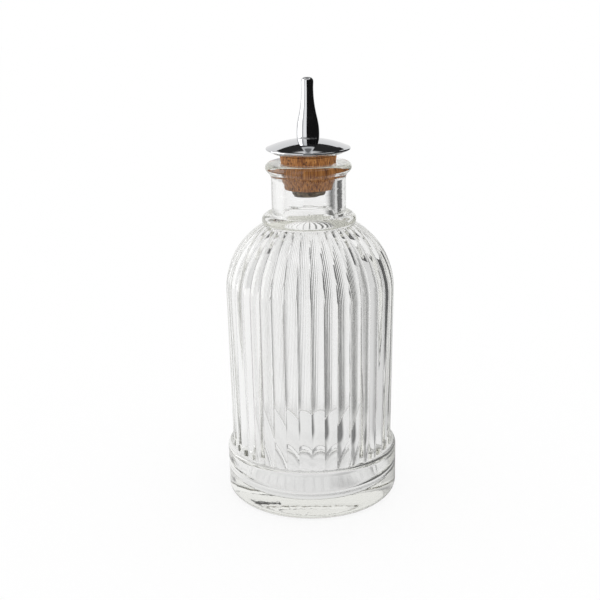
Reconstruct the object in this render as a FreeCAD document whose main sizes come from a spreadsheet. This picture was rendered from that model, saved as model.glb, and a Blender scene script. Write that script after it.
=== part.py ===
import FreeCAD, Part
import math
import os
from types import SimpleNamespace

import Sketcher
from FreeCAD import Vector

# Driving sizes in millimetres, and the number of flutes. Heights are measured from the piece's own foot.
SIZES = {
    # Glass bottle, from the foot up
    "base_radius": 33.5,
    "foot_edge_radius": 3.2,
    "standing_band": 4.8,
    "ring_height": 19.9,
    "ring_edge_radius": 1.7,
    "ring_step": 2.1,
    "wall_height": 63.0,
    "wall_flare": 0.8,
    "shoulder_rise": 26.6,
    "neck_radius": 14.0,
    "neck_length": 15.1,
    "bead_step": 1.3,
    "bead_tube_radius": 2.55,
    "lip_step": 2.2,
    "lip_rise": 6.5,
    "lip_edge_radius": 1.85,
    "flute_count": 40,
    "flute_depth": 0.9,
    # Inside of the glass
    "floor_thickness": 5.4,
    "floor_corner_radius": 7.0,
    "wall_thickness": 2.7,
    "crown_thickness": 3.3,
    "neck_thickness": 4.05,
    "punt_depth": 1.0,
    "seat_depth": 2.6,
    "mouth_edge_radius": 0.6,
    # Cork stopper
    "cork_length": 12.5,
    "cork_above_lip": 2.9,
    "cork_taper_share": 0.14,
    "cork_edge_radius": 0.5,
    "seat_clearance": 0.05,
    # Stem and the nut that clamps the cork
    "stem_radius": 2.2,
    "stem_bore_radius": 1.1,
    "stem_clearance": 0.05,
    "nut_radius": 6.4,
    "nut_thickness": 2.7,
    "nut_edge_radius": 1.6,
    # Dasher disc
    "disc_radius": 15.8,
    "disc_rim_radius": 0.4,
    "disc_under_rise": 2.2,
    "disc_dome_rise": 3.4,
    "disc_under_curve": 12.0,
    "disc_dome_curve": 38.0,
    "disc_seat_inset": 0.5,
    # Dasher spout
    "spout_foot_radius": 4.08,
    "spout_flank_radius": 3.45,
    "spout_flank_height": 8.4,
    "spout_belly_curve": 25.5,
    "spout_waist_radius": 2.18,
    "spout_waist_curve": 44.0,
    "spout_length": 22.4,
    "spout_tip_radius": 2.28,
    "spout_tip_flare": 1.9,
    "spout_tip_rise": 1.5,
    "spout_tip_land": 0.35,
    "spout_tip_curve": 1.7,
    "socket_depth": 5.8,
}

# How far each fluted section lies along the shoulder's arc, from the wall to the bead
SHOULDER_SECTION_SHARES = (0.0, 0.2, 0.4, 0.6, 0.8, 1.0)


class Length:
    """A size, with the sheet expression that gives it."""

    def __init__(self, value, text):
        self.value = value
        self.text = text

    def combine(self, sign, other, result):
        """New length from this one and another length or a plain share."""
        text = other.text if isinstance(other, Length) else repr(other)
        return Length(result, f"({self.text} {sign} {text})")

    def __add__(self, other):
        return self.combine("+", other, self.value + other.value)

    def __sub__(self, other):
        return self.combine("-", other, self.value - other.value)

    def __mul__(self, other):
        return self.combine("*", other, self.value * getattr(other, "value", other))

    def __truediv__(self, other):
        return self.combine("/", other, self.value / getattr(other, "value", other))


ZERO = Length(0.0, "0")


def root(square):
    """Square root of a product of lengths."""
    return Length(math.sqrt(square.value), f"sqrt({square.text})")


def tangent_arc_radius(run, rise):
    """Radius of the arc that starts upright and moves this far in while it rises."""
    return (run * run + rise * rise) / (run * 2)


def add_sheet(doc):
    """Put the driving sizes in the spreadsheet and return them as lengths."""
    sheet = doc.addObject("Spreadsheet::Sheet", "dims")
    lengths = {}
    for row, (alias, value) in enumerate(SIZES.items(), start=1):
        sheet.set(f"A{row}", alias)
        sheet.set(f"B{row}", str(value))
        sheet.setAlias(f"B{row}", alias)
        lengths[alias] = Length(value, f"dims.{alias}")
    doc.recompute()
    return SimpleNamespace(**lengths)


def add_body(doc, label, height):
    """New body for one piece, standing with its own foot at this height."""
    body = doc.addObject("PartDesign::Body", label)
    body.Label = label
    body.setExpression("Placement.Base.z", height.text)
    return body


def add_sketch(body, name, role):
    """Empty sketch on one of the body's own origin planes."""
    plane = next(item for item in body.Origin.OriginFeatures if item.Role == role)
    sketch = body.newObject("Sketcher::SketchObject", name)
    sketch.AttachmentSupport = (plane, [""])
    sketch.MapMode = "FlatFace"
    return sketch


def line_to(across, up):
    """Outline step: a straight edge to this corner."""
    return SimpleNamespace(across=across, up=up, radius=None, turn=0)


def arc_to(across, up, radius, turn):
    """Outline step: an arc to this corner, turning left (1) or right (-1) on the way."""
    return SimpleNamespace(across=across, up=up, radius=radius, turn=turn)


def arc_between(start, end, radius, turn):
    """Arc under a half circle between two points, drawn anticlockwise as sketches keep it."""
    chord = end - start
    middle = (start + end) * 0.5
    sideways = Vector(-chord.y, chord.x, 0) / chord.Length
    depth = math.sqrt(max(radius**2 - (chord.Length / 2) ** 2, 0))
    centre = middle + sideways * (turn * depth)
    first, last = (start, end) if turn > 0 else (end, start)
    angles = [math.atan2(point.y - centre.y, point.x - centre.x) for point in (first, last)]
    if angles[1] < angles[0]:
        angles[1] += math.tau
    return Part.ArcOfCircle(Part.Circle(centre, Vector(0, 0, 1), radius), *angles)


def hold_corner(sketch, edge, end, corner):
    """Bind one corner's two coordinates to the sheet."""
    for kind, axis, length in (("DistanceX", -2, corner.across), ("DistanceY", -1, corner.up)):
        if length is ZERO:
            sketch.addConstraint(Sketcher.Constraint("PointOnObject", edge, end, axis))
            continue
        index = sketch.addConstraint(Sketcher.Constraint(kind, -1, 1, edge, end, length.value))
        sketch.setExpression(f"Constraints[{index}]", length.text)


def draw_outline(body, name, steps):
    """Closed outline in the XZ plane whose corners and arcs are bound to the sheet."""
    sketch = add_sketch(body, name, "XZ_Plane")
    points = [Vector(step.across.value, step.up.value, 0) for step in steps]
    for index, step in enumerate(steps):
        start, end = points[index - 1], points[index]
        if step.radius is None:
            sketch.addGeometry(Part.LineSegment(start, end))
        else:
            sketch.addGeometry(arc_between(start, end, step.radius.value, step.turn))
    begins = [2 if step.turn < 0 else 1 for step in steps]
    ends = [1 if step.turn < 0 else 2 for step in steps]
    for index, step in enumerate(steps):
        before = (index - 1) % len(steps)
        sketch.addConstraint(Sketcher.Constraint("Coincident", before, ends[before], index, begins[index]))
        hold_corner(sketch, index, ends[index], step)
        if step.radius is not None:
            held = sketch.addConstraint(Sketcher.Constraint("Radius", index, step.radius.value))
            sketch.setExpression(f"Constraints[{held}]", step.radius.text)
    return sketch


def turn_outline(body, kind, name, steps):
    """Revolution or Groove of a closed outline about the body's upright axis."""
    sketch = draw_outline(body, f"{name}_outline", steps)
    feature = body.newObject(f"PartDesign::{kind}", name)
    feature.Profile = sketch
    feature.ReferenceAxis = (sketch, ["V_Axis"])
    feature.Angle = 360
    body.Document.recompute()
    return feature


def draw_flutes(body, name, crest_radius, height, dims):
    """Ring of round ribs that meet in sharp valleys, with a valley facing the front.

    The ribs are as deep as the sheet says on the wall, and shallower in step with a smaller radius.
    """
    sketch = add_sketch(body, name, "XY_Plane")
    sketch.setExpression("AttachmentOffset.Base.z", height.text)
    valley_radius = crest_radius - dims.flute_depth * crest_radius / wall_top_radius(dims)
    count = int(dims.flute_count.value)
    front = Vector(0, -1, 0)
    turn = FreeCAD.Rotation(Vector(0, 0, 1), 360 / count)
    half_turn = FreeCAD.Rotation(Vector(0, 0, 1), 180 / count)
    ribs = []
    for _ in range(count):
        start = front * valley_radius.value
        crest = half_turn.multVec(front) * crest_radius.value
        front = turn.multVec(front)
        ribs.append(Part.Arc(start, crest, front * valley_radius.value))
    sketch.addGeometry(ribs)
    sketch.addConstraint([Sketcher.Constraint("Coincident", (index - 1) % count, 2, index, 1)
                          for index in range(count)])
    return sketch


def add_loft(body, name, sections, ruled):
    """Loft through closed sections, joined to the body."""
    loft = body.newObject("PartDesign::AdditiveLoft", name)
    loft.Profile = sections[0]
    loft.Sections = sections[1:]
    loft.Ruled = ruled
    body.Document.recompute()
    return loft


def build_glass_bottle(doc, dims):
    """One moulded piece of glass: ring, fluted wall and shoulder, bead, neck and lip, cut out inside."""
    body = add_body(doc, "glass_bottle", ZERO)
    add_foot_ring(body, dims)
    add_fluted_wall(body, dims)
    add_neck(body, dims)
    cut_inside(body, dims)
    return body


def add_foot_ring(body, dims):
    """Plain heavy ring with rounded edges, hollowed underneath so that it stands on a narrow band."""
    edge, top_edge = dims.foot_edge_radius, dims.ring_edge_radius
    punt_radius = dims.base_radius - edge - dims.standing_band
    punt_curve = tangent_arc_radius(dims.punt_depth, punt_radius)
    turn_outline(body, "Revolution", "foot_ring", [
        line_to(ZERO, dims.punt_depth),
        arc_to(punt_radius, ZERO, punt_curve, -1),
        line_to(dims.base_radius - edge, ZERO),
        arc_to(dims.base_radius, edge, edge, 1),
        line_to(dims.base_radius, dims.ring_height - top_edge),
        arc_to(dims.base_radius - top_edge, dims.ring_height, top_edge, 1),
        line_to(ZERO, dims.ring_height),
    ])


def wall_foot_radius(dims):
    """Radius of the rib crests where the wall stands on the ring."""
    return dims.base_radius - dims.ring_step


def wall_top_radius(dims):
    """Radius of the rib crests where the wall meets the shoulder."""
    return wall_foot_radius(dims) + dims.wall_flare


def shoulder_arc(dims):
    """Radius, centre and end angle of the arc that the rib crests follow over the shoulder."""
    wall_top = wall_top_radius(dims)
    radius = tangent_arc_radius(wall_top - dims.neck_radius, dims.shoulder_rise)
    centre = wall_top - radius
    end_angle = math.atan2(dims.shoulder_rise.value, (dims.neck_radius - centre).value)
    return radius, centre, end_angle


def add_fluted_wall(body, dims):
    """Ribbed wall that widens a little upwards, and the ribbed shoulder that closes in to the bead."""
    wall_top = dims.ring_height + dims.wall_height
    radius, centre, end_angle = shoulder_arc(dims)
    foot = draw_flutes(body, "flutes_at_ring", wall_foot_radius(dims), dims.ring_height, dims)
    sections = []
    for number, share in enumerate(SHOULDER_SECTION_SHARES):
        angle = end_angle * share
        crest = centre + radius * math.cos(angle)
        height = wall_top + radius * math.sin(angle)
        sections.append(draw_flutes(body, f"flutes_on_shoulder_{number}", crest, height, dims))
    add_loft(body, "fluted_wall", [foot, sections[0]], True)
    add_loft(body, "fluted_shoulder", sections, False)


def lip_top_height(dims):
    """Height of the top of the glass."""
    return dims.ring_height + dims.wall_height + dims.shoulder_rise + dims.neck_length + dims.lip_rise


def add_neck(body, dims):
    """Bead over the ends of the flutes, straight neck and rolled lip."""
    bead_height = dims.ring_height + dims.wall_height + dims.shoulder_rise
    bead, tube = dims.neck_radius + dims.bead_step, dims.bead_tube_radius
    bead_half = root(tube * tube - dims.bead_step * dims.bead_step)
    flare_height = bead_height + dims.neck_length
    top = lip_top_height(dims)
    lip, edge = dims.neck_radius + dims.lip_step, dims.lip_edge_radius
    lip_middle = top - edge
    slant = math.sqrt(0.5)
    flare_end = lip - edge * (1 - slant)
    flare_end_height = lip_middle - edge * slant
    flare_curve = tangent_arc_radius(flare_end - dims.neck_radius, flare_end_height - flare_height)
    turn_outline(body, "Revolution", "neck", [
        line_to(ZERO, bead_height - tube),
        line_to(bead, bead_height - tube),
        arc_to(bead + tube, bead_height, tube, 1),
        arc_to(dims.neck_radius, bead_height + bead_half, tube, 1),
        line_to(dims.neck_radius, flare_height),
        arc_to(flare_end, flare_end_height, flare_curve, -1),
        arc_to(lip, lip_middle, edge, 1),
        arc_to(lip - edge, top, edge, 1),
        line_to(ZERO, top),
    ])


def neck_bore_radius(dims):
    """Radius of the hole through the neck, below the cork's seat."""
    return dims.neck_radius - dims.neck_thickness


def cork_radius(dims, above_seat_foot):
    """Radius of the cork at this height above the foot of its seat in the neck."""
    return neck_bore_radius(dims) - dims.seat_clearance + above_seat_foot * dims.cork_taper_share


def cut_inside(body, dims):
    """Rounded floor, straight inner wall, round inner shoulder, neck bore and the cork's tapered seat."""
    cavity = wall_foot_radius(dims) - dims.flute_depth - dims.wall_thickness
    bore = neck_bore_radius(dims)
    wall_top = dims.ring_height + dims.wall_height
    crown = wall_top + dims.shoulder_rise - dims.crown_thickness
    crown_curve = tangent_arc_radius(cavity - bore, crown - wall_top)
    corner = dims.floor_corner_radius
    top = lip_top_height(dims)
    edge = dims.mouth_edge_radius
    mouth = cork_radius(dims, dims.seat_depth - edge) + dims.seat_clearance
    turn_outline(body, "Groove", "inside", [
        line_to(ZERO, dims.floor_thickness),
        line_to(cavity - corner, dims.floor_thickness),
        arc_to(cavity, dims.floor_thickness + corner, corner, 1),
        line_to(cavity, wall_top),
        arc_to(bore, crown, crown_curve, 1),
        line_to(bore, top - dims.seat_depth),
        line_to(mouth, top - edge),
        arc_to(mouth + edge, top, edge, -1),
        line_to(ZERO, top),
    ])


def build_cork_stopper(doc, dims):
    """Tapered cork, bored through for the stem."""
    foot = cork_foot_height(dims)
    body = add_body(doc, "cork_stopper", foot)
    seat_foot = lip_top_height(dims) - dims.seat_depth - foot
    edge = dims.cork_edge_radius
    bore = dims.stem_radius + dims.stem_clearance
    top_radius = cork_radius(dims, dims.cork_length - edge - seat_foot)
    foot_radius = cork_radius(dims, edge - seat_foot)
    turn_outline(body, "Revolution", "cork", [
        line_to(bore, ZERO),
        line_to(foot_radius - edge, ZERO),
        arc_to(foot_radius, edge, edge, 1),
        line_to(top_radius, dims.cork_length - edge),
        arc_to(top_radius - edge, dims.cork_length, edge, 1),
        line_to(bore, dims.cork_length),
    ])
    return body


def cork_foot_height(dims):
    """Height of the cork's lower face."""
    return lip_top_height(dims) + dims.cork_above_lip - dims.cork_length


def disc_seat_height(dims):
    """Height of the cork's upper face, which the disc sits on."""
    return lip_top_height(dims) + dims.cork_above_lip


def build_dasher_disc(doc, dims):
    """Lens-shaped disc with a thin round rim, flat where it meets the cork and the spout."""
    body = add_body(doc, "dasher_disc", disc_seat_height(dims))
    rim = dims.disc_rim_radius
    bore = dims.stem_radius + dims.stem_clearance
    cork_top = cork_radius(dims, dims.seat_depth + dims.cork_above_lip)
    rim_start = dims.disc_radius - rim
    turn_outline(body, "Revolution", "disc", [
        line_to(bore, ZERO),
        line_to(cork_top - dims.disc_seat_inset, ZERO),
        arc_to(rim_start, dims.disc_under_rise - rim, dims.disc_under_curve, 1),
        arc_to(dims.disc_radius, dims.disc_under_rise, rim, 1),
        arc_to(rim_start, dims.disc_under_rise + rim, rim, 1),
        arc_to(dims.spout_foot_radius, dims.disc_under_rise + dims.disc_dome_rise, dims.disc_dome_curve, 1),
        line_to(bore, dims.disc_under_rise + dims.disc_dome_rise),
    ])
    return body


def spout_foot_height(dims):
    """Height of the disc's top, which the spout stands on."""
    return disc_seat_height(dims) + dims.disc_under_rise + dims.disc_dome_rise


def build_dasher_spout(doc, dims):
    """Skittle-shaped nozzle: round belly, long waist and a small bead at its open tip."""
    body = add_body(doc, "dasher_spout", spout_foot_height(dims))
    socket = dims.stem_radius + dims.stem_clearance
    bore = dims.stem_bore_radius
    tip_height = dims.spout_length - dims.spout_tip_rise
    turn_outline(body, "Revolution", "spout", [
        line_to(socket, ZERO),
        line_to(dims.spout_foot_radius, ZERO),
        arc_to(dims.spout_flank_radius, dims.spout_flank_height, dims.spout_belly_curve, 1),
        arc_to(dims.spout_waist_radius, tip_height - dims.spout_tip_flare, dims.spout_waist_curve, -1),
        line_to(dims.spout_tip_radius, tip_height),
        arc_to(bore + dims.spout_tip_land, dims.spout_length, dims.spout_tip_curve, 1),
        line_to(bore, dims.spout_length),
        line_to(bore, dims.socket_depth),
        line_to(socket, dims.socket_depth),
    ])
    return body


def build_stem_tube(doc, dims):
    """Tube from the nut's lower face, through cork and disc, up to the end of the spout's socket."""
    foot = cork_foot_height(dims) - dims.nut_thickness
    body = add_body(doc, "stem_tube", foot)
    length = spout_foot_height(dims) + dims.socket_depth - foot
    turn_outline(body, "Revolution", "tube", [
        line_to(dims.stem_bore_radius, ZERO),
        line_to(dims.stem_radius, ZERO),
        line_to(dims.stem_radius, length),
        line_to(dims.stem_bore_radius, length),
    ])
    return body


def build_retaining_nut(doc, dims):
    """Round nut with an eased lower edge that clamps the cork against the disc."""
    body = add_body(doc, "retaining_nut", cork_foot_height(dims) - dims.nut_thickness)
    edge = dims.nut_edge_radius
    bore = dims.stem_radius + dims.stem_clearance
    turn_outline(body, "Revolution", "nut", [
        line_to(bore, ZERO),
        line_to(dims.nut_radius - edge, ZERO),
        arc_to(dims.nut_radius, edge, edge, 1),
        line_to(dims.nut_radius, dims.nut_thickness),
        line_to(bore, dims.nut_thickness),
    ])
    return body


def check_document(doc, pieces):
    """Stop if any object failed or any piece isn't one whole solid."""
    for item in doc.Objects:
        if "Invalid" in item.State or "Error" in item.State:
            raise RuntimeError(f"{item.Name} did not build: {item.State}")
    for piece in pieces:
        if piece.Shape.isNull() or not piece.Shape.isValid() or len(piece.Shape.Solids) != 1:
            raise RuntimeError(f"{piece.Label} is not one whole solid")


def write_pieces(pieces):
    """Write each piece to its own STEP file."""
    os.makedirs("parts", exist_ok=True)
    for piece in pieces:
        piece.Shape.exportStep(os.path.join("parts", f"{piece.Label}.step"))
        print(f"{piece.Label}: {piece.Shape.Volume:.0f} mm3")


def main():
    doc = FreeCAD.newDocument("bitters_bottle")
    dims = add_sheet(doc)
    builders = (build_glass_bottle, build_cork_stopper, build_dasher_disc, build_dasher_spout,
                build_stem_tube, build_retaining_nut)
    pieces = [build(doc, dims) for build in builders]
    doc.recompute()
    check_document(doc, pieces)
    write_pieces(pieces)


main()
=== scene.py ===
"""Looks of a fluted glass bitters bottle whose cork carries a chrome dasher.

Outlines give radii from the bottle's upright axis and heights above its foot in millimetres, and
become metres as they are drawn.
"""

import logging
import math
from dataclasses import dataclass
from enum import Enum
from itertools import pairwise
from typing import Any, Callable, Sequence

import bmesh
import bpy
from mathutils import Matrix, Vector


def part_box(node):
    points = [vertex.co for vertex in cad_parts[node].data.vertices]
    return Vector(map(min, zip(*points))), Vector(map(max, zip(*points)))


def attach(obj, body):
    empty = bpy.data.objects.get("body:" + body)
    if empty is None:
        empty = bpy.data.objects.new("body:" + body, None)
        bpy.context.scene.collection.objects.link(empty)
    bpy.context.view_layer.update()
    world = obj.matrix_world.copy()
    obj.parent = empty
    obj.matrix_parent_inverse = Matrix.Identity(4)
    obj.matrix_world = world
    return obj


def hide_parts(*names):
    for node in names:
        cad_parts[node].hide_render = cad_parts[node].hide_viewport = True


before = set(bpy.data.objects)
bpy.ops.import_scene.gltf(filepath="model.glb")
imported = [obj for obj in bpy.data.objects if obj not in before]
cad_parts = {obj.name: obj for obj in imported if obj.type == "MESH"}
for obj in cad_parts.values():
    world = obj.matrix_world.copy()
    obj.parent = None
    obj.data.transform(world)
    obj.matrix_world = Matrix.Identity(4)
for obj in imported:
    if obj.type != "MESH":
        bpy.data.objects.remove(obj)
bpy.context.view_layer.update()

logger = logging.getLogger("bitters_bottle")

MM = 0.001
IMAGE_WIDTH = 600
LIGHT_BOUNCES = 24
UPRIGHT = (0.0, 0.0, 1.0)
AXIS_FOOT = (0.0, 0.0, 0.0)
WELD_DISTANCE = MM / 1000
TURNED_SMOOTH_ANGLE = math.radians(35)
FLUTED_SMOOTH_ANGLE = math.radians(40)
COARSE_FACETS = 96
FINE_FACETS = 128
# Blender's wave texture repeats over this length when its scale is 1.
UNIT_WAVE = math.pi / 10

Point = tuple[float, float]
Colour = tuple[float, float, float, float]


class Turn(Enum):
    """Way that an outline's arc turns as it is followed."""

    LEFT = 1
    RIGHT = -1


@dataclass
class Outline:
    """Half section of a turned piece, as a chain of (radius, height) points in millimetres."""

    points: list[Point]

    def line_to(self, radius: float, height: float, parts: int = 1) -> "Outline":
        """Go straight to a point.

        Args:
            radius: Distance of the point from the axis.
            height: Height of the point.
            parts: Number of edges along the way.

        Returns:
            This outline, to go on from.
        """
        start, end = Vector(self.points[-1]), Vector((radius, height))
        self.points += [tuple(start.lerp(end, step / parts)) for step in range(1, parts + 1)]
        return self

    def arc_to(self, radius: float, height: float, curve: float, turn: Turn, parts: int = 8) -> "Outline":
        """Follow an arc under a half circle to a point.

        Args:
            radius: Distance of the point from the axis.
            height: Height of the point.
            curve: Radius of the arc.
            turn: Way that the arc turns.
            parts: Number of edges along the way.

        Returns:
            This outline, to go on from.
        """
        start, end = Vector(self.points[-1]), Vector((radius, height))
        chord = end - start
        sideways = Vector((-chord.y, chord.x)).normalized() * turn.value
        centre = (start + end) / 2 + sideways * math.sqrt(max(curve**2 - chord.length_squared / 4, 0.0))
        sweep = 2 * math.asin(min(chord.length / 2 / curve, 1.0)) * turn.value
        for step in range(1, parts + 1):
            arm = Matrix.Rotation(sweep * step / parts, 2) @ (start - centre)
            self.points.append(tuple(centre + arm))
        return self

    def draw(self, name: str) -> bpy.types.Object:
        """Draw the outline as a chain of edges in the XZ plane, and stay in edit mode.

        Args:
            name: Name of the new object.

        Returns:
            The object, which sits at the origin.
        """
        bpy.ops.object.select_all(action="DESELECT")
        bpy.ops.mesh.primitive_plane_add(size=MM)
        piece = bpy.context.object
        piece.name = piece.data.name = name
        bpy.ops.object.mode_set(mode="EDIT")
        bpy.ops.mesh.merge(type="CENTER")
        places = [Vector((radius, 0.0, height)) * MM for radius, height in self.points]
        bpy.ops.transform.translate(value=places[0])
        for here, there in pairwise(places):
            bpy.ops.mesh.extrude_vertices_move(TRANSFORM_OT_translate={"value": there - here})
        return piece


def spin(angle: float, steps: int, copies: bool = False) -> None:
    """Spin the whole mesh in edit mode about the upright axis.

    Args:
        angle: Angle of the whole spin.
        steps: Number of steps in it.
        copies: Whether each step is a separate copy and not a skin.
    """
    bpy.ops.mesh.select_all(action="SELECT")
    bpy.ops.mesh.spin(steps=steps, dupli=copies, angle=angle, center=AXIS_FOOT, axis=UPRIGHT)


def close_shell(smooth_angle: float) -> None:
    """Join the seams and poles of the mesh in edit mode, face it outwards and leave edit mode.

    Args:
        smooth_angle: Angle past which an edge stays sharp.
    """
    bpy.ops.mesh.select_all(action="SELECT")
    bpy.ops.mesh.remove_doubles(threshold=WELD_DISTANCE)
    bpy.ops.mesh.normals_make_consistent(inside=False)
    bpy.ops.object.mode_set(mode="OBJECT")
    bpy.ops.object.shade_smooth_by_angle(angle=smooth_angle)


def turn_piece(outline: Outline, name: str, facets: int) -> bpy.types.Object:
    """Make a round piece from its closed half section.

    Args:
        outline: Half section that ends where it starts.
        name: Name of the piece.
        facets: Number of facets around the axis.

    Returns:
        The finished mesh object.
    """
    piece = outline.draw(name)
    spin(math.tau, facets)
    close_shell(TURNED_SMOOTH_ANGLE)
    return piece


def linear(hex_colour: str) -> Colour:
    """Turn an sRGB hex colour to linear light.

    Args:
        hex_colour: Colour such as "#A86B3C".

    Returns:
        Linear red, green, blue and an alpha of 1.
    """
    shares = [int(hex_colour[start:start + 2], 16) / 255 for start in (1, 3, 5)]
    red, green, blue = (s / 12.92 if s <= 0.04045 else ((s + 0.055) / 1.055) ** 2.4 for s in shares)
    return red, green, blue, 1.0


def grey(light: float) -> Colour:
    """Give a neutral linear colour.

    Args:
        light: Level of all three channels.

    Returns:
        Linear red, green, blue and an alpha of 1.
    """
    return light, light, light, 1.0


def add_node(tree: bpy.types.NodeTree, kind: str, settings: dict[str | int, Any] | None = None,
             links: dict[str | int, bpy.types.NodeSocket] | None = None) -> bpy.types.Node:
    """Add a node with its settings and links.

    Args:
        tree: Node tree to add it to.
        kind: Blender's name for the node.
        settings: Values of its inputs by name or number, and of its own properties by name.
        links: Output sockets to link, by the name or number of the input.

    Returns:
        The new node.
    """
    node = tree.nodes.new(kind)
    for name, value in (settings or {}).items():
        if isinstance(name, str) and hasattr(node, name):
            setattr(node, name, value)
        else:
            node.inputs[name].default_value = value
    for name, source in (links or {}).items():
        tree.links.new(source, node.inputs[name])
    return node


def set_stops(ramp: bpy.types.ColorRamp, stops: Sequence[tuple[float, Colour]]) -> None:
    """Give a new colour ramp its stops.

    Args:
        ramp: Ramp that has only its first two stops.
        stops: Position and linear colour of each stop, in order.
    """
    for _ in stops[2:]:
        ramp.elements.new(1.0)
    for element, (position, colour) in zip(ramp.elements, stops):
        element.position, element.color = position, colour


def shining_rays(tree: bpy.types.NodeTree, path: bpy.types.Node) -> bpy.types.NodeSocket:
    """Pick out the rays that glass and metal send on and that no matt surface has scattered.

    Args:
        tree: Node tree to work in.
        path: Light path node of that tree.

    Returns:
        Socket that is 1 for such rays and 0 for all others.
    """
    shining = add_node(tree, "ShaderNodeMath", {"operation": "MAXIMUM"},
                       {0: path.outputs["Is Glossy Ray"], 1: path.outputs["Is Transmission Ray"]})
    unscattered = add_node(tree, "ShaderNodeMath", {"operation": "SUBTRACT", "use_clamp": True},
                           {0: shining.outputs[0], 1: path.outputs["Diffuse Depth"]})
    return unscattered.outputs[0]


def new_material(name: str) -> tuple[bpy.types.Material, bpy.types.NodeTree]:
    """Make an empty node material.

    Args:
        name: Common name of the material.

    Returns:
        The material and its cleared node tree.
    """
    material = bpy.data.materials.new(name)
    material.use_nodes = True
    material.node_tree.nodes.clear()
    return material, material.node_tree


@dataclass(frozen=True)
class PressedGlass:
    """Pressed soda-lime glass: clear, and faintly warm grey where it is thick.

    A mould leaves slow ripples in its skin and fine drag lines along it, so what shows through the
    ribs wavers a little. The neck is finished by a turning tool, whose level waves blur what shows
    through it. They grow to their full height between two heights on the bottle.
    """

    colour: str = "#FEFEFE"
    depth_colour: str = "#F6F6F2"
    depth_density: float = 20.0
    ior: float = 1.51
    ripple_size: float = 9.0
    ripple_height: float = 0.03
    drag_width: float = 1.3
    drag_length: float = 14.0
    drag_height: float = 0.008
    tool_start: float = 102.0
    tool_full: float = 106.0
    tool_pitch: float = 1.6
    tool_length: float = 11.0
    tool_height: float = 0.09

    def make(self) -> bpy.types.Material:
        """Make the material.

        Returns:
            The finished material.
        """
        material, tree = new_material("soda_lime_glass")
        place = add_node(tree, "ShaderNodeTexCoord")
        ripple = add_node(tree, "ShaderNodeTexNoise",
                          {"Scale": 1 / (self.ripple_size * MM), "Detail": 1.0},
                          {"Vector": place.outputs["Object"]})
        wavy = add_node(tree, "ShaderNodeBump", {"Strength": 1.0, "Distance": self.ripple_height * MM},
                        {"Height": ripple.outputs["Fac"]})
        upright = add_node(tree, "ShaderNodeMapping",
                           {"Scale": (1.0, 1.0, self.drag_width / self.drag_length)},
                           {"Vector": place.outputs["Object"]})
        drag = add_node(tree, "ShaderNodeTexNoise",
                        {"Scale": 1 / (self.drag_width * MM), "Detail": 2.0},
                        {"Vector": upright.outputs["Vector"]})
        skin = add_node(tree, "ShaderNodeBump", {"Strength": 1.0, "Distance": self.drag_height * MM},
                        {"Height": drag.outputs["Fac"], "Normal": wavy.outputs["Normal"]})
        stretch = self.tool_pitch / self.tool_length
        level = add_node(tree, "ShaderNodeMapping", {"Scale": (stretch, stretch, 1.0)},
                         {"Vector": place.outputs["Object"]})
        waves = add_node(tree, "ShaderNodeTexNoise",
                         {"Scale": 1 / (self.tool_pitch * MM), "Detail": 1.0},
                         {"Vector": level.outputs["Vector"]})
        spot = add_node(tree, "ShaderNodeSeparateXYZ", links={0: place.outputs["Object"]})
        tooled = add_node(tree, "ShaderNodeMapRange",
                          {"From Min": self.tool_start * MM, "From Max": self.tool_full * MM},
                          {"Value": spot.outputs["Z"]})
        neck = add_node(tree, "ShaderNodeBump", {"Distance": self.tool_height * MM},
                        {"Strength": tooled.outputs["Result"], "Height": waves.outputs["Fac"],
                         "Normal": skin.outputs["Normal"]})
        glass = add_node(tree, "ShaderNodeBsdfPrincipled",
                         {"Base Color": linear(self.colour), "Roughness": 0.0, "IOR": self.ior,
                          "Transmission Weight": 1.0},
                         {"Normal": neck.outputs["Normal"]})
        depth = add_node(tree, "ShaderNodeVolumeAbsorption",
                         {"Color": linear(self.depth_colour), "Density": self.depth_density})
        add_node(tree, "ShaderNodeOutputMaterial", links={"Surface": glass.outputs["BSDF"],
                                                          "Volume": depth.outputs["Volume"]})
        return material


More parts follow.
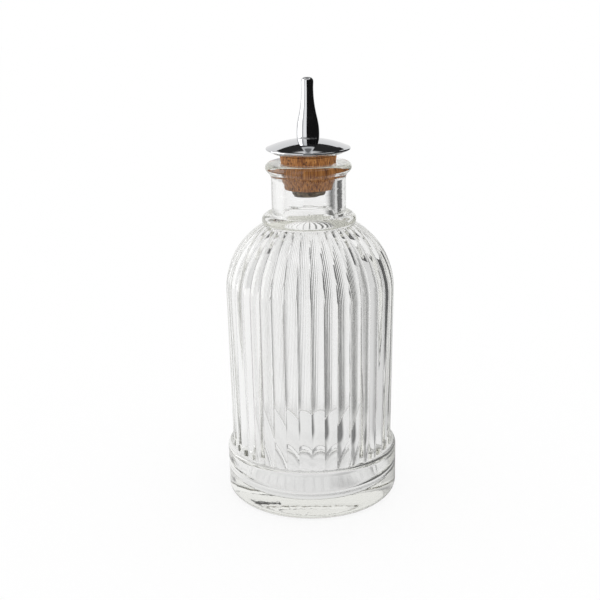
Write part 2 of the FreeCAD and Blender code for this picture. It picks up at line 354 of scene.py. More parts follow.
@dataclass(frozen=True)
class NaturalCork:
    """Bark cork, punched along the tree: orange brown with upright streaks and dark short pores.

    The pores are drawn a little coarser than real ones, so that they show.
    """

    tones: tuple[tuple[float, str], ...] = ((0.34, "#63381A"), (0.48, "#A76930"), (0.66, "#D29350"))
    pore_colour: str = "#2E1608"
    streak_width: float = 0.5
    streak_length: float = 3.0
    pore_spacing: float = 1.3
    pore_length: float = 2.6
    pore_share: float = 0.24
    relief: float = 0.12

    def make(self) -> bpy.types.Material:
        """Make the material.

        Returns:
            The finished material.
        """
        material, tree = new_material("bark_cork")
        place = add_node(tree, "ShaderNodeTexCoord")
        along = add_node(tree, "ShaderNodeMapping",
                         {"Scale": (1.0, 1.0, self.streak_width / self.streak_length)},
                         {"Vector": place.outputs["Object"]})
        streaks = add_node(tree, "ShaderNodeTexNoise",
                           {"Scale": 1 / (self.streak_width * MM), "Detail": 5.0, "Roughness": 0.62},
                           {"Vector": along.outputs["Vector"]})
        shade = add_node(tree, "ShaderNodeValToRGB", links={"Fac": streaks.outputs["Fac"]})
        set_stops(shade.color_ramp, [(level, linear(tone)) for level, tone in self.tones])
        short = add_node(tree, "ShaderNodeMapping",
                         {"Scale": (1.0, 1.0, self.pore_spacing / self.pore_length)},
                         {"Vector": place.outputs["Object"]})
        pores = add_node(tree, "ShaderNodeTexVoronoi", {"Scale": 1 / (self.pore_spacing * MM)},
                         {"Vector": short.outputs["Vector"]})
        pit = add_node(tree, "ShaderNodeMapRange",
                       {"From Min": self.pore_share / 2, "From Max": self.pore_share,
                        "To Min": 1.0, "To Max": 0.0},
                       {"Value": pores.outputs["Distance"]})
        colour = add_node(tree, "ShaderNodeMix", {"data_type": "RGBA", 7: linear(self.pore_colour)},
                          {0: pit.outputs["Result"], 6: shade.outputs["Color"]})
        height = add_node(tree, "ShaderNodeMath", {"operation": "SUBTRACT"},
                          {0: streaks.outputs["Fac"], 1: pit.outputs["Result"]})
        bump = add_node(tree, "ShaderNodeBump", {"Strength": 0.8, "Distance": self.relief * MM},
                        {"Height": height.outputs[0]})
        skin = add_node(tree, "ShaderNodeBsdfPrincipled", {"Roughness": 0.78},
                        {"Base Color": colour.outputs[2], "Normal": bump.outputs["Normal"]})
        add_node(tree, "ShaderNodeOutputMaterial", links={"Surface": skin.outputs["BSDF"]})
        return material


@dataclass(frozen=True)
class ChromePlate:
    """Bright chrome plate on a polished casting: a mirror that buffing left faintly wavy and hazed."""

    colour: str = "#CFD0D2"
    clear: float = 0.03
    hazed: float = 0.09
    haze_size: float = 5.0
    wave_size: float = 6.0
    wave_height: float = 0.004

    def make(self) -> bpy.types.Material:
        """Make the material.

        Returns:
            The finished material.
        """
        material, tree = new_material("chrome_plate")
        place = add_node(tree, "ShaderNodeTexCoord")
        haze = add_node(tree, "ShaderNodeTexNoise",
                        {"Scale": 1 / (self.haze_size * MM), "Detail": 4.0},
                        {"Vector": place.outputs["Object"]})
        polish = add_node(tree, "ShaderNodeMapRange",
                          {"From Min": 0.4, "From Max": 0.75, "To Min": self.clear, "To Max": self.hazed},
                          {"Value": haze.outputs["Fac"]})
        waves = add_node(tree, "ShaderNodeTexNoise",
                         {"Scale": 1 / (self.wave_size * MM), "Detail": 0.0},
                         {"Vector": place.outputs["Object"]})
        bump = add_node(tree, "ShaderNodeBump", {"Strength": 1.0, "Distance": self.wave_height * MM},
                        {"Height": waves.outputs["Fac"]})
        plate = add_node(tree, "ShaderNodeBsdfPrincipled",
                         {"Base Color": linear(self.colour), "Metallic": 1.0},
                         {"Roughness": polish.outputs["Result"], "Normal": bump.outputs["Normal"]})
        add_node(tree, "ShaderNodeOutputMaterial", links={"Surface": plate.outputs["BSDF"]})
        return material


@dataclass(frozen=True)
class PaintedDarkSteel:
    """Plain turned steel under the cork: dull, with fine tool rings and dark brown patches of painted
    reflection.
    """

    # Painted reflection: the dark brown patches stand in for the dark surroundings that the steel mirrors
    # inside the neck.
    tones: tuple[tuple[float, str], ...] = ((0.38, "#453523"), (0.64, "#7F715C"))
    patch_size: float = 1.6
    ring_pitch: float = 0.6
    ring_height: float = 0.02

    def make(self) -> bpy.types.Material:
        """Make the material.

        Returns:
            The finished material.
        """
        material, tree = new_material("turned_steel")
        place = add_node(tree, "ShaderNodeTexCoord")
        patches = add_node(tree, "ShaderNodeTexNoise",
                           {"Scale": 1 / (self.patch_size * MM), "Detail": 4.0, "Roughness": 0.7},
                           {"Vector": place.outputs["Object"]})
        shade = add_node(tree, "ShaderNodeValToRGB", links={"Fac": patches.outputs["Fac"]})
        set_stops(shade.color_ramp, [(level, linear(tone)) for level, tone in self.tones])
        dull = add_node(tree, "ShaderNodeMapRange", {"To Min": 0.6, "To Max": 0.3},
                        {"Value": patches.outputs["Fac"]})
        rings = add_node(tree, "ShaderNodeTexWave",
                         {"bands_direction": "Z", "Scale": UNIT_WAVE / (self.ring_pitch * MM)},
                         {"Vector": place.outputs["Object"]})
        bump = add_node(tree, "ShaderNodeBump", {"Strength": 0.6, "Distance": self.ring_height * MM},
                        {"Height": rings.outputs["Fac"]})
        metal = add_node(tree, "ShaderNodeBsdfPrincipled", {"Metallic": 1.0},
                         {"Base Color": shade.outputs["Color"], "Roughness": dull.outputs["Result"],
                          "Normal": bump.outputs["Normal"]})
        add_node(tree, "ShaderNodeOutputMaterial", links={"Surface": metal.outputs["BSDF"]})
        return material


def dress(piece: bpy.types.Object, material: bpy.types.Material, body: str, node: str) -> None:
    """Give a piece its material, and let it stand for a CAD node.

    Args:
        piece: Mesh object of the piece.
        material: Finish of the piece.
        body: CAD body that it moves with.
        node: CAD node that it stands for.
    """
    piece.data.materials.clear()
    piece.data.materials.append(material)
    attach(piece, body)
    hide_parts(node)
    logger.info("%s: %d faces", piece.name, len(piece.data.polygons))


@dataclass
class FlutedBottle:
    """The glass: heavy ring, fluted wall and shoulder, bead, neck and rolled lip, hollow inside."""

    base_radius: float
    lip_top: float
    foot_edge: float = 3.2
    standing_band: float = 4.8
    punt_depth: float = 1.0
    ring_height: float = 19.9
    ring_edge: float = 1.7
    ring_step: float = 2.1
    wall_height: float = 63.0
    wall_flare: float = 0.8
    shoulder_rise: float = 26.6
    neck_radius: float = 14.0
    neck_length: float = 15.1
    bead_step: float = 1.3
    bead_tube: float = 2.55
    lip_step: float = 2.2
    lip_edge: float = 1.85
    floor_thickness: float = 5.4
    floor_corner: float = 7.0
    wall_thickness: float = 2.7
    crown_thickness: float = 3.3
    neck_thickness: float = 4.05
    seat_depth: float = 2.6
    seat_taper_share: float = 0.14
    mouth_edge: float = 0.6
    flute_count: int = 40
    flute_depth: float = 0.9
    columns_per_flute: int = 12

    @classmethod
    def from_frame(cls) -> "FlutedBottle":
        """Take the bottle's width and height from its CAD node.

        Returns:
            The bottle, ready to build.
        """
        _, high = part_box("glass_bottle")
        return cls(base_radius=high.x / MM, lip_top=high.z / MM)

    @property
    def wall_foot(self) -> float:
        """Radius of the rib crests at the foot of the wall."""
        return self.base_radius - self.ring_step

    @property
    def wall_top(self) -> float:
        """Radius of the rib crests at the top of the wall."""
        return self.wall_foot + self.wall_flare

    @property
    def shoulder_foot_height(self) -> float:
        """Height at which the shoulder starts."""
        return self.ring_height + self.wall_height

    @property
    def bead_height(self) -> float:
        """Height of the middle of the bead."""
        return self.shoulder_foot_height + self.shoulder_rise

    def shoulder_end(self, curve: float) -> Point:
        """Find where the rib crests run into the bead.

        Args:
            curve: Radius of the shoulder's arc.

        Returns:
            Radius and height of the lower of the two points that both circles share.
        """
        shoulder = Vector((self.wall_top - curve, self.shoulder_foot_height))
        bead = Vector((self.neck_radius + self.bead_step, self.bead_height))
        apart = bead - shoulder
        along = (apart.length_squared + curve**2 - self.bead_tube**2) / (2 * apart.length)
        aside = math.sqrt(curve**2 - along**2)
        ahead = apart.normalized()
        return tuple(shoulder + ahead * along + Vector((ahead.y, -ahead.x)) * aside)

    def outside(self) -> Outline:
        """Follow the outside from the middle of the foot to the top of the lip.

        Returns:
            The unfinished outline, with the rib crests as the fluted band's radius.
        """
        punt = self.base_radius - self.foot_edge - self.standing_band
        shoulder_curve = tangent_curve(self.wall_top - self.neck_radius, self.shoulder_rise)
        bead = self.neck_radius + self.bead_step
        bead_rise = math.sqrt(self.bead_tube**2 - self.bead_step**2)
        lip = self.neck_radius + self.lip_step
        lip_middle = self.lip_top - self.lip_edge
        slant = self.lip_edge * math.sqrt(0.5)
        flare_foot = self.bead_height + self.neck_length
        flare_end = (lip - self.lip_edge + slant, lip_middle - slant)
        flare_curve = tangent_curve(flare_end[0] - self.neck_radius, flare_end[1] - flare_foot)
        return (Outline([(0.0, self.punt_depth)])
                .arc_to(punt, 0.0, tangent_curve(self.punt_depth, punt), Turn.RIGHT, 8)
                .line_to(self.base_radius - self.foot_edge, 0.0, 2)
                .arc_to(self.base_radius, self.foot_edge, self.foot_edge, Turn.LEFT, 8)
                .line_to(self.base_radius, self.ring_height - self.ring_edge, 4)
                .arc_to(self.base_radius - self.ring_edge, self.ring_height, self.ring_edge, Turn.LEFT, 6)
                .line_to(self.wall_foot, self.ring_height)
                .line_to(self.wall_top, self.shoulder_foot_height, 6)
                .arc_to(*self.shoulder_end(shoulder_curve), shoulder_curve, Turn.LEFT, 30)
                .arc_to(bead + self.bead_tube, self.bead_height, self.bead_tube, Turn.LEFT, 4)
                .arc_to(self.neck_radius, self.bead_height + bead_rise, self.bead_tube, Turn.LEFT, 8)
                .line_to(self.neck_radius, flare_foot, 3)
                .arc_to(*flare_end, flare_curve, Turn.RIGHT, 6)
                .arc_to(lip, lip_middle, self.lip_edge, Turn.LEFT, 4)
                .arc_to(lip - self.lip_edge, self.lip_top, self.lip_edge, Turn.LEFT, 7))

    def section(self) -> Outline:
        """Follow the whole section, outside and inside.

        Returns:
            The outline from the axis under the foot to the axis on the inner floor.
        """
        bore = self.neck_radius - self.neck_thickness
        cavity = self.wall_foot - self.flute_depth - self.wall_thickness
        crown = self.bead_height - self.crown_thickness
        crown_curve = tangent_curve(cavity - bore, crown - self.shoulder_foot_height)
        mouth = bore + (self.seat_depth - self.mouth_edge) * self.seat_taper_share
        return (self.outside()
                .line_to(mouth + self.mouth_edge, self.lip_top, 2)
                .arc_to(mouth, self.lip_top - self.mouth_edge, self.mouth_edge, Turn.LEFT, 4)
                .line_to(bore, self.lip_top - self.seat_depth)
                .line_to(bore, crown, 2)
                .arc_to(cavity, self.shoulder_foot_height, crown_curve, Turn.RIGHT, 36)
                .line_to(cavity, self.floor_thickness + self.floor_corner, 4)
                .arc_to(cavity - self.floor_corner, self.floor_thickness, self.floor_corner, Turn.RIGHT, 8)
                .line_to(0.0, self.floor_thickness, 5))

    def press_rib(self) -> None:
        """Draw the fluted band of one sector in to a round rib between two valleys.

        The mesh in edit mode is one sector, from one valley to the next. Each column of it is scaled
        about the axis to where the rib's circle lies at that angle.
        """
        half = math.pi / self.flute_count
        valley = 1 - self.flute_depth / self.wall_top
        middle = (1 - valley**2) / (2 * (1 - valley * math.cos(half)))
        rib_radius = 1 - middle
        column_slack = half / 100
        mesh = bmesh.from_edit_mesh(bpy.context.object.data)
        band = self.fluted_band()
        for column in range(self.columns_per_flute + 1):
            angle = 2 * half * column / self.columns_per_flute
            away = angle - half
            reach = middle * math.cos(away) + math.sqrt(rib_radius**2 - (middle * math.sin(away)) ** 2)
            for vertex in mesh.verts:
                radius, height = vertex.co.xy.length / MM, vertex.co.z / MM
                turned = abs(math.atan2(vertex.co.y, vertex.co.x))
                vertex.select = abs(turned - angle) < column_slack and band(radius, height)
            mesh.select_flush_mode()
            bmesh.update_edit_mesh(bpy.context.object.data)
            bpy.ops.transform.resize(value=(reach, reach, 1.0), center_override=AXIS_FOOT)

    def fluted_band(self) -> Callable[[float, float], bool]:
        """Give the test for the part of the outside that is fluted.

        Returns:
            A function of radius and height that is true from the wall's foot to the bead.
        """
        curve = tangent_curve(self.wall_top - self.neck_radius, self.shoulder_rise)
        end_height = self.shoulder_end(curve)[1]
        slack = 0.001
        inside = self.wall_thickness / 2

        def in_band(radius: float, height: float) -> bool:
            if not self.ring_height - slack < height < end_height + slack:
                return False
            if height < self.shoulder_foot_height:
                share = (height - self.ring_height) / self.wall_height
                crest = self.wall_foot + self.wall_flare * share
            else:
                rise = height - self.shoulder_foot_height
                crest = self.wall_top - curve + math.sqrt(curve**2 - rise**2)
            return crest - inside < radius < crest + slack

        return in_band

    def build(self, material: bpy.types.Material) -> None:
        """Model one fluted sector of the glass and repeat it around the axis.

        Args:
            material: Finish of the glass.
        """
        piece = self.section().draw("fluted_glass")
        sector = math.tau / self.flute_count
        spin(sector, self.columns_per_flute)
        self.press_rib()
        spin(math.tau - sector, self.flute_count - 1, copies=True)
        close_shell(FLUTED_SMOOTH_ANGLE)
        dress(piece, material, "bottle", "glass_bottle")


def tangent_curve(run: float, rise: float) -> float:
    """Radius of the arc that starts along its rise and moves sideways by its run.

    Args:
        run: Distance that the arc moves sideways.
        rise: Distance that it goes along its first direction.

    Returns:
        Radius of the arc.
    """
    return (run**2 + rise**2) / (2 * run)


@dataclass
class DasherStopper:
    """The stopper: tapered cork, domed disc, skittle-shaped spout, stem and retaining nut."""

    cork_foot: float
    cork_top: float
    cork_top_radius: float
    disc_radius: float
    spout_foot: float
    spout_foot_radius: float
    spout_top: float
    nut_foot: float
    nut_radius: float
    seat_foot: float
    grip_radius: float = 10.0
    grip_length: float = 1.1
    bore: float = 2.25
    cork_edge: float = 0.5
    cork_taper_share: float = 0.14
    disc_rim: float = 0.4
    disc_under_rise: float = 2.2
    disc_under_curve: float = 12.0
    disc_dome_curve: float = 38.0
    disc_seat_inset: float = 0.5
    flank_radius: float = 3.45
    flank_height: float = 8.4
    belly_curve: float = 25.5
    waist_radius: float = 2.18
    waist_height: float = 19.0
    waist_curve: float = 44.0
    tip_radius: float = 2.28
    tip_height: float = 20.9
    tip_curve: float = 1.7
    tip_land: float = 0.35
    spout_bore: float = 1.1
    socket_depth: float = 5.8
    nut_edge: float = 1.6

    @classmethod
    def from_frame(cls) -> "DasherStopper":
        """Take the heights and radii of the stopper's pieces from their CAD nodes.

        Returns:
            The stopper, ready to build.
        """
        cork_low, cork_high = (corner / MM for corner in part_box("cork_stopper"))
        spout_low, spout_high = (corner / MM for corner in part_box("dasher_spout"))
        nut_low, nut_high = (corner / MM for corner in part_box("retaining_nut"))
        lip_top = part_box("glass_bottle")[1].z / MM
        return cls(cork_foot=cork_low.z, cork_top=cork_high.z, cork_top_radius=cork_high.x,
                   disc_radius=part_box("dasher_disc")[1].x / MM, spout_foot=spout_low.z,
                   spout_foot_radius=spout_high.x, spout_top=spout_high.z, nut_foot=nut_low.z,
                   nut_radius=nut_high.x, seat_foot=lip_top - FlutedBottle.seat_depth)

    def build_cork(self, material: bpy.types.Material) -> None:
        """Turn the tapered cork.

        Args:
            material: Finish of the cork.
        """
        edge = self.cork_edge
        length = self.cork_top - self.cork_foot
        foot_radius = self.cork_top_radius - (length - 2 * edge) * self.cork_taper_share
        band_end = self.seat_foot + edge
        band_end_radius = self.cork_top_radius - (self.cork_top - edge - band_end) * self.cork_taper_share
        # Below the seat the soft cork has spread into a narrow band that touches the glass all round.
        outline = (Outline([(self.bore, self.cork_foot)])
                   .line_to(foot_radius - edge, self.cork_foot, 4)
                   .arc_to(foot_radius, self.cork_foot + edge, edge, Turn.LEFT, 5)
                   .line_to(self.grip_radius, self.seat_foot - self.grip_length, 4)
                   .line_to(self.grip_radius, self.seat_foot, 2)
                   .line_to(band_end_radius, band_end)
                   .line_to(self.cork_top_radius, self.cork_top - edge, 8)
                   .arc_to(self.cork_top_radius - edge, self.cork_top, edge, Turn.LEFT, 5)
                   .line_to(self.bore, self.cork_top, 4)
                   .line_to(self.bore, self.cork_foot))
        piece = turn_piece(outline, "tapered_cork", FINE_FACETS)
        dress(piece, material, "stopper", "cork_stopper")

    def build_disc(self, material: bpy.types.Material) -> None:
        """Turn the lens-shaped disc on the cork.

        Args:
            material: Finish of the metal.
        """
        rim = self.disc_rim
        rim_height = self.cork_top + self.disc_under_rise
        rim_start = self.disc_radius - rim
        outline = (Outline([(self.bore, self.cork_top)])
                   .line_to(self.cork_top_radius + self.cork_edge * self.cork_taper_share
                            - self.disc_seat_inset, self.cork_top, 2)
                   .arc_to(rim_start, rim_height - rim, self.disc_under_curve, Turn.LEFT, 10)
                   .arc_to(self.disc_radius, rim_height, rim, Turn.LEFT, 5)
                   .arc_to(rim_start, rim_height + rim, rim, Turn.LEFT, 5)
                   .arc_to(self.spout_foot_radius, self.spout_foot, self.disc_dome_curve, Turn.LEFT, 24)
                   .line_to(self.bore, self.spout_foot, 2)
                   .line_to(self.bore, self.cork_top))
        piece = turn_piece(outline, "domed_disc", FINE_FACETS)
        dress(piece, material, "stopper", "dasher_disc")

    def build_spout(self, material: bpy.types.Material) -> None:
        """Turn the skittle-shaped spout on the disc.

        Args:
            material: Finish of the metal.
        """
        foot = self.spout_foot
        outline = (Outline([(self.bore, foot)])
                   .line_to(self.spout_foot_radius, foot)
                   .arc_to(self.flank_radius, foot + self.flank_height, self.belly_curve, Turn.LEFT, 14)
                   .arc_to(self.waist_radius, foot + self.waist_height, self.waist_curve, Turn.RIGHT, 14)
                   .line_to(self.tip_radius, foot + self.tip_height, 2)
                   .arc_to(self.spout_bore + self.tip_land, self.spout_top, self.tip_curve, Turn.LEFT, 8)
                   .line_to(self.spout_bore, self.spout_top)
                   .line_to(self.spout_bore, foot + self.socket_depth, 2)
                   .line_to(self.bore, foot + self.socket_depth)
                   .line_to(self.bore, foot))
        piece = turn_piece(outline, "skittle_spout", COARSE_FACETS)
        dress(piece, material, "stopper", "dasher_spout")

    def build_nut(self, material: bpy.types.Material) -> None:
        """Turn the round nut under the cork.

        Args:
            material: Finish of the metal.
        """
        edge = self.nut_edge
        outline = (Outline([(self.bore, self.nut_foot)])
                   .line_to(self.nut_radius - edge, self.nut_foot, 3)
                   .arc_to(self.nut_radius, self.nut_foot + edge, edge, Turn.LEFT, 8)
                   .line_to(self.nut_radius, self.cork_foot, 2)
                   .line_to(self.bore, self.cork_foot, 2)
                   .line_to(self.bore, self.nut_foot))
        piece = turn_piece(outline, "round_nut", COARSE_FACETS)
        dress(piece, material, "stopper", "retaining_nut")

    def build(self, cork: bpy.types.Material, chrome: bpy.types.Material,
              steel: bpy.types.Material) -> None:
        """Build every piece of the stopper, and dress the CAD stem inside it.

        Args:
            cork: Finish of the cork.
            chrome: Finish of the disc and the spout.
            steel: Finish of the stem and the nut.
        """
        self.build_cork(cork)
        self.build_disc(chrome)
        self.build_spout(chrome)
        self.build_nut(steel)
        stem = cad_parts["stem_tube"]
        stem.data.materials.clear()
        stem.data.materials.append(steel)


class Sight(Enum):
    """What shows a studio card: mirrored surfaces, the view through glass, or both."""

    MIRRORED = "mirrored"
    THROUGH_GLASS = "through glass"
    BOTH = "both"


@dataclass(frozen=True)
class Card:
    """Upright studio card that glass and metal show, and that the camera itself doesn't see.

    Its azimuth is in degrees round to the right from straight behind the bottle, and it spans the
    given angle to each side of that.
    """

    name: str
    sight: Sight
    azimuth: float
    half_angle: float
    distance: float
    height: float
    light: float

    def build(self) -> None:
        """Stand the card where it faces the bottle."""
        bpy.ops.object.select_all(action="DESELECT")
        bpy.ops.mesh.primitive_plane_add(size=1.0)
        card = bpy.context.object
        card.name = self.name
        width = 2 * self.distance * math.tan(math.radians(self.half_angle))
        place = (Matrix.Rotation(math.radians(-self.azimuth), 4, "Z")
                 @ Matrix.Translation((0.0, self.distance, self.height / 2))
                 @ Matrix.Rotation(math.pi / 2, 4, "X")
                 @ Matrix.Diagonal((width, self.height, 1.0, 1.0)))
        card.data.transform(place)
        card.visible_camera = card.visible_diffuse = card.visible_shadow = False
        card.visible_glossy = self.sight is not Sight.THROUGH_GLASS
        card.visible_transmission = self.sight is not Sight.MIRRORED
        material, tree = new_material(self.name)
        face = add_node(tree, "ShaderNodeEmission",
                        {"Color": grey(self.light), "Strength": 1.0})
        add_node(tree, "ShaderNodeOutputMaterial", links={"Surface": face.outputs[0]})
        card.data.materials.append(material)


@dataclass(frozen=True)
class PaintedFloorShadow:
    """Painted soft shadow of the bottle on the floor near it, seen only through its glass.

    Its place and its two radii, of the dark core and of the soft edge, are in millimetres.
    """

    right: float
    back: float
    core: float
    edge: float
    light: float


@dataclass(frozen=True)
class Studio:
    """Plain white studio: floor, surroundings and cards.

    The camera sees only white. Glass and metal show a room with darks in it, each its own: pale
    backdrops low down, a dark band above them, and a floor with painted shade on the right: the
    bottle's own shadow, falling away from the light on the left. The floor's stops are an azimuth like
    that of a card and a light, and the sky's an elevation and a light, in degrees. Near the bottle the
    floor that glass shows is even but for its painted shadows, and the stops take over from near_end
    to far_start, in metres from the axis.
    """

    floor_size: float = 6.0
    light: float = 1.0
    shadow_share: float = 0.15
    # Painted shade on the floor that glass shows: the bottle's shadow falls to the right of and behind it.
    glass_floor_shade: tuple[Point, ...] = (
        (-180, 0.65), (-135, 0.8), (-100, 0.95), (10, 0.95), (24, 0.08), (48, 0.08), (58, 0.72),
        (72, 0.72), (84, 0.4), (94, 0.4), (108, 0.9), (150, 0.75), (180, 0.65))
    # Painted shade on the floor that metal mirrors: darker on the right and in front, away from the light
    # on the left.
    mirrored_floor_shade: tuple[Point, ...] = (
        (-180, 0.3), (-130, 0.6), (-80, 0.95), (10, 0.95), (30, 0.3), (110, 0.15), (150, 0.06), (180, 0.3))
    # Painted shade: near the bottle, the floor that glass shows is drawn dimmer than the lit floor farther
    # off.
    near_light: float = 0.86
    near_end: float = 0.068
    far_start: float = 0.094
    # Painted shadows of the bottle on the floor, to the right of, behind and under it.
    painted_shadows: tuple[PaintedFloorShadow, ...] = (
        PaintedFloorShadow(42.0, 45.0, 10.0, 27.0, 0.14),
        PaintedFloorShadow(34.0, 18.0, 5.0, 14.0, 0.4),
        PaintedFloorShadow(14.0, -9.0, 2.0, 9.0, 0.74),
        PaintedFloorShadow(0.0, 0.0, 26.0, 36.0, 0.92),
    )
    glass_sky: tuple[Point, ...] = ((50, 0.08), (57, 0.6))
    mirrored_sky: tuple[Point, ...] = ((49, 0.03), (54, 1.0), (62, 1.0), (68, 0.3))
    cards: tuple[Card, ...] = (
        Card("backdrop", Sight.BOTH, -20.0, 34.0, 2.0, 1.44, 0.92),
        Card("backdrop_right", Sight.BOTH, 37.0, 24.0, 2.0, 1.16, 0.92),
        Card("left_wall", Sight.THROUGH_GLASS, -100.0, 52.0, 0.9, 0.9, 0.72),
        Card("left_sky", Sight.THROUGH_GLASS, -45.0, 25.0, 2.2, 1.5, 0.65),
        Card("right_wall", Sight.THROUGH_GLASS, 75.0, 30.0, 0.9, 0.46, 0.7),
        Card("left_softbox", Sight.MIRRORED, -86.0, 26.0, 0.7, 0.8, 3.0),
        Card("left_screen", Sight.MIRRORED, -122.5, 10.5, 0.7, 0.8, 0.75),
        Card("front_left_softbox", Sight.MIRRORED, -150.0, 16.5, 0.7, 0.8, 1.2),
        Card("back_right_flag", Sight.MIRRORED, 58.0, 28.0, 0.6, 0.6, 0.01),
        Card("right_flag", Sight.MIRRORED, 114.0, 28.0, 0.6, 0.6, 0.01),
        Card("front_flag", Sight.MIRRORED, 168.0, 26.0, 0.6, 0.6, 0.01),
    )

    def paint_near_shadows(self, tree: bpy.types.NodeTree, place: bpy.types.NodeSocket) -> bpy.types.NodeSocket:
        """Paint the bottle's shadows on the floor close to it, as its glass shows it.

        Args:
            tree: Node tree of the floor.
            place: Socket with the place on the floor.

        Returns:
            Socket with the light there.
        """
        near = add_node(tree, "ShaderNodeValue")
        near.outputs[0].default_value = self.near_light
        # Each painted shadow darkens the near floor towards its core.
        for shade in self.painted_shadows:
            away = add_node(tree, "ShaderNodeVectorMath",
                            {"operation": "DISTANCE", 1: (shade.right * MM, shade.back * MM, 0.0)},
                            {0: place})
            share = add_node(tree, "ShaderNodeMapRange",
                             {"interpolation_type": "SMOOTHSTEP", "From Min": shade.core * MM,
                              "From Max": shade.edge * MM, "To Min": shade.light},
                             {"Value": away.outputs["Value"]})
            near = add_node(tree, "ShaderNodeMath", {"operation": "MULTIPLY"},
                            {0: near.outputs[0], 1: share.outputs["Result"]})
        return near.outputs[0]

    def paint_floor_shade(self, tree: bpy.types.NodeTree, path: bpy.types.Node) -> bpy.types.NodeSocket:
        """Paint shade on the floor by its azimuth, once for the view through glass and once for mirrors.

        Args:
            tree: Node tree of the floor.
            path: Light path node of that tree.

        Returns:
            Socket with the colour that glass or metal shows.
        """
        place = add_node(tree, "ShaderNodeTexCoord").outputs["Object"]
        across = add_node(tree, "ShaderNodeSeparateXYZ", links={0: place})
        azimuth = add_node(tree, "ShaderNodeMath", {"operation": "ARCTAN2"},
                           {0: across.outputs["X"], 1: across.outputs["Y"]})
        turn = add_node(tree, "ShaderNodeMapRange", {"From Min": -math.pi, "From Max": math.pi},
                        {"Value": azimuth.outputs[0]})
        rings = {}
        # Painted shade by azimuth, once for glass and once for mirrors.
        for sight, stops in ((Sight.THROUGH_GLASS, self.glass_floor_shade),
                             (Sight.MIRRORED, self.mirrored_floor_shade)):
            ring = add_node(tree, "ShaderNodeValToRGB", links={"Fac": turn.outputs["Result"]})
            ring.color_ramp.interpolation = "EASE"
            set_stops(ring.color_ramp, [((degrees + 180) / 360, grey(light)) for degrees, light in stops])
            rings[sight] = ring.outputs["Color"]
        reach = add_node(tree, "ShaderNodeVectorMath", {"operation": "LENGTH"}, {0: place})
        far = add_node(tree, "ShaderNodeMapRange",
                       {"interpolation_type": "SMOOTHSTEP", "From Min": self.near_end,
                        "From Max": self.far_start},
                       {"Value": reach.outputs["Value"]})
        through = add_node(tree, "ShaderNodeMix", {"data_type": "RGBA"},
                           {0: far.outputs["Result"], 6: self.paint_near_shadows(tree, place),
                            7: rings[Sight.THROUGH_GLASS]})
        seen = add_node(tree, "ShaderNodeMix", {"data_type": "RGBA"},
                        {0: path.outputs["Is Transmission Ray"], 6: rings[Sight.MIRRORED],
                         7: through.outputs[2]})
        return seen.outputs[2]

    def build_floor(self) -> None:
        """Lay the plain pale floor: white to the camera, and with painted shade to glass and metal."""
        bpy.ops.object.select_all(action="DESELECT")
        bpy.ops.mesh.primitive_plane_add(size=self.floor_size)
        floor = bpy.context.object
        floor.name = "floor"
        material, tree = new_material("white_floor")
        path = add_node(tree, "ShaderNodeLightPath")
        white = add_node(tree, "ShaderNodeEmission", {"Color": grey(1.0), "Strength": 1.0})
        matt = add_node(tree, "ShaderNodeBsdfDiffuse", {"Color": grey(1.0)})
        lit = add_node(tree, "ShaderNodeMixShader", {"Fac": self.shadow_share},
                       {1: white.outputs[0], 2: matt.outputs[0]})
        plain = add_node(tree, "ShaderNodeMixShader", links={"Fac": path.outputs["Is Camera Ray"],
                                                             1: matt.outputs[0], 2: lit.outputs[0]})
        # The floor's painted shade, which only glass and metal show.
        shown = add_node(tree, "ShaderNodeEmission", {"Strength": 1.0},
                         {"Color": self.paint_floor_shade(tree, path)})
        both = add_node(tree, "ShaderNodeMixShader", links={"Fac": shining_rays(tree, path),
                                                            1: plain.outputs[0], 2: shown.outputs[0]})
        add_node(tree, "ShaderNodeOutputMaterial", links={"Surface": both.outputs[0]})
        floor.data.materials.append(material)

    def build_surround(self) -> None:
        """Surround the bottle with soft white light, and let glass and metal show a darker room."""
        world = bpy.data.worlds.new("studio")
        bpy.context.scene.world = world
        world.use_nodes = True
        tree = world.node_tree
        tree.nodes.clear()
        path = add_node(tree, "ShaderNodeLightPath")
        place = add_node(tree, "ShaderNodeTexCoord")
        up = add_node(tree, "ShaderNodeSeparateXYZ", links={0: place.outputs["Generated"]})
        skies = {}
        for sight, stops in ((Sight.THROUGH_GLASS, self.glass_sky), (Sight.MIRRORED, self.mirrored_sky)):
            sky = add_node(tree, "ShaderNodeValToRGB", links={"Fac": up.outputs["Z"]})
            sky.color_ramp.interpolation = "EASE"
            set_stops(sky.color_ramp,
                      [(math.sin(math.radians(degrees)), grey(light)) for degrees, light in stops])
            skies[sight] = sky.outputs["Color"]
        seen = add_node(tree, "ShaderNodeMix", {"data_type": "RGBA"},
                        {0: path.outputs["Is Transmission Ray"], 6: skies[Sight.MIRRORED],
                         7: skies[Sight.THROUGH_GLASS]})
        soft = add_node(tree, "ShaderNodeBackground", {"Color": grey(1.0), "Strength": self.light})
        shown = add_node(tree, "ShaderNodeBackground", {"Strength": 1.0}, {"Color": seen.outputs[2]})
        both = add_node(tree, "ShaderNodeMixShader", links={"Fac": shining_rays(tree, path),
                                                            1: soft.outputs[0], 2: shown.outputs[0]})
        add_node(tree, "ShaderNodeOutputWorld", links={"Surface": both.outputs[0]})

    def build(self) -> None:
        """Build the floor, the cards and the surroundings."""
        self.build_floor()
        for card in self.cards:
            card.build()
        self.build_surround()


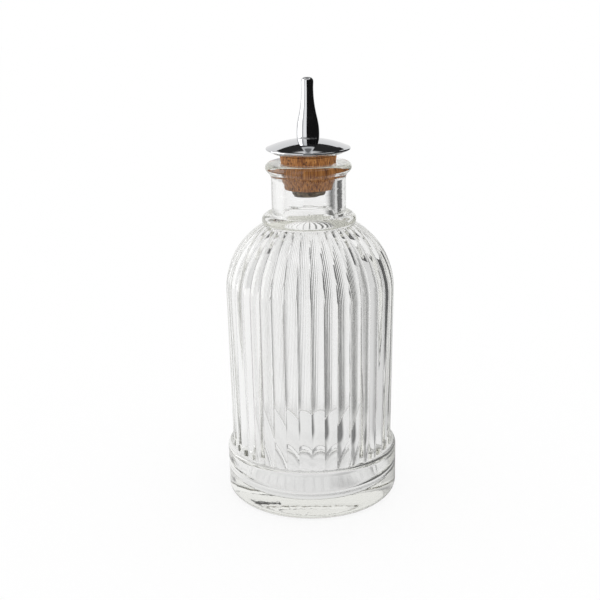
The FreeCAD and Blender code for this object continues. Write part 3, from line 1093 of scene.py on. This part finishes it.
@dataclass(frozen=True)
class PhotoCamera:
    """Camera that stands where the photograph was taken."""

    distance: float = 0.3899
    height: float = 0.19546
    focal_pixels: float = 1052.8
    tilt_down: float = 0.294
    pan_left: float = 0.010
    roll: float = -0.016
    sensor: float = 36.0

    def build(self) -> None:
        """Place the camera and make it the scene's own."""
        data = bpy.data.cameras.new("photo_camera")
        data.sensor_width = self.sensor
        data.lens = self.focal_pixels * self.sensor / IMAGE_WIDTH
        camera = bpy.data.objects.new("photo_camera", data)
        bpy.context.scene.collection.objects.link(camera)
        aim = (Matrix.Rotation(self.pan_left, 3, "Z")
               @ Matrix.Rotation(math.pi / 2 - self.tilt_down, 3, "X")
               @ Matrix.Rotation(self.roll, 3, "Z"))
        camera.rotation_euler = aim.to_euler()
        camera.location = (0.0, -self.distance, self.height)
        bpy.context.scene.camera = camera


def main() -> None:
    """Build the bottle, its stopper and the studio around them."""
    logging.basicConfig(level=logging.INFO)
    bpy.context.scene.view_settings.view_transform = "Standard"
    bpy.context.scene.cycles.max_bounces = LIGHT_BOUNCES
    bpy.context.scene.cycles.transmission_bounces = LIGHT_BOUNCES
    bpy.context.scene.cycles.glossy_bounces = LIGHT_BOUNCES
    FlutedBottle.from_frame().build(PressedGlass().make())
    DasherStopper.from_frame().build(NaturalCork().make(), ChromePlate().make(), PaintedDarkSteel().make())
    Studio().build()
    PhotoCamera().build()


if __name__ == "__main__":
    main()
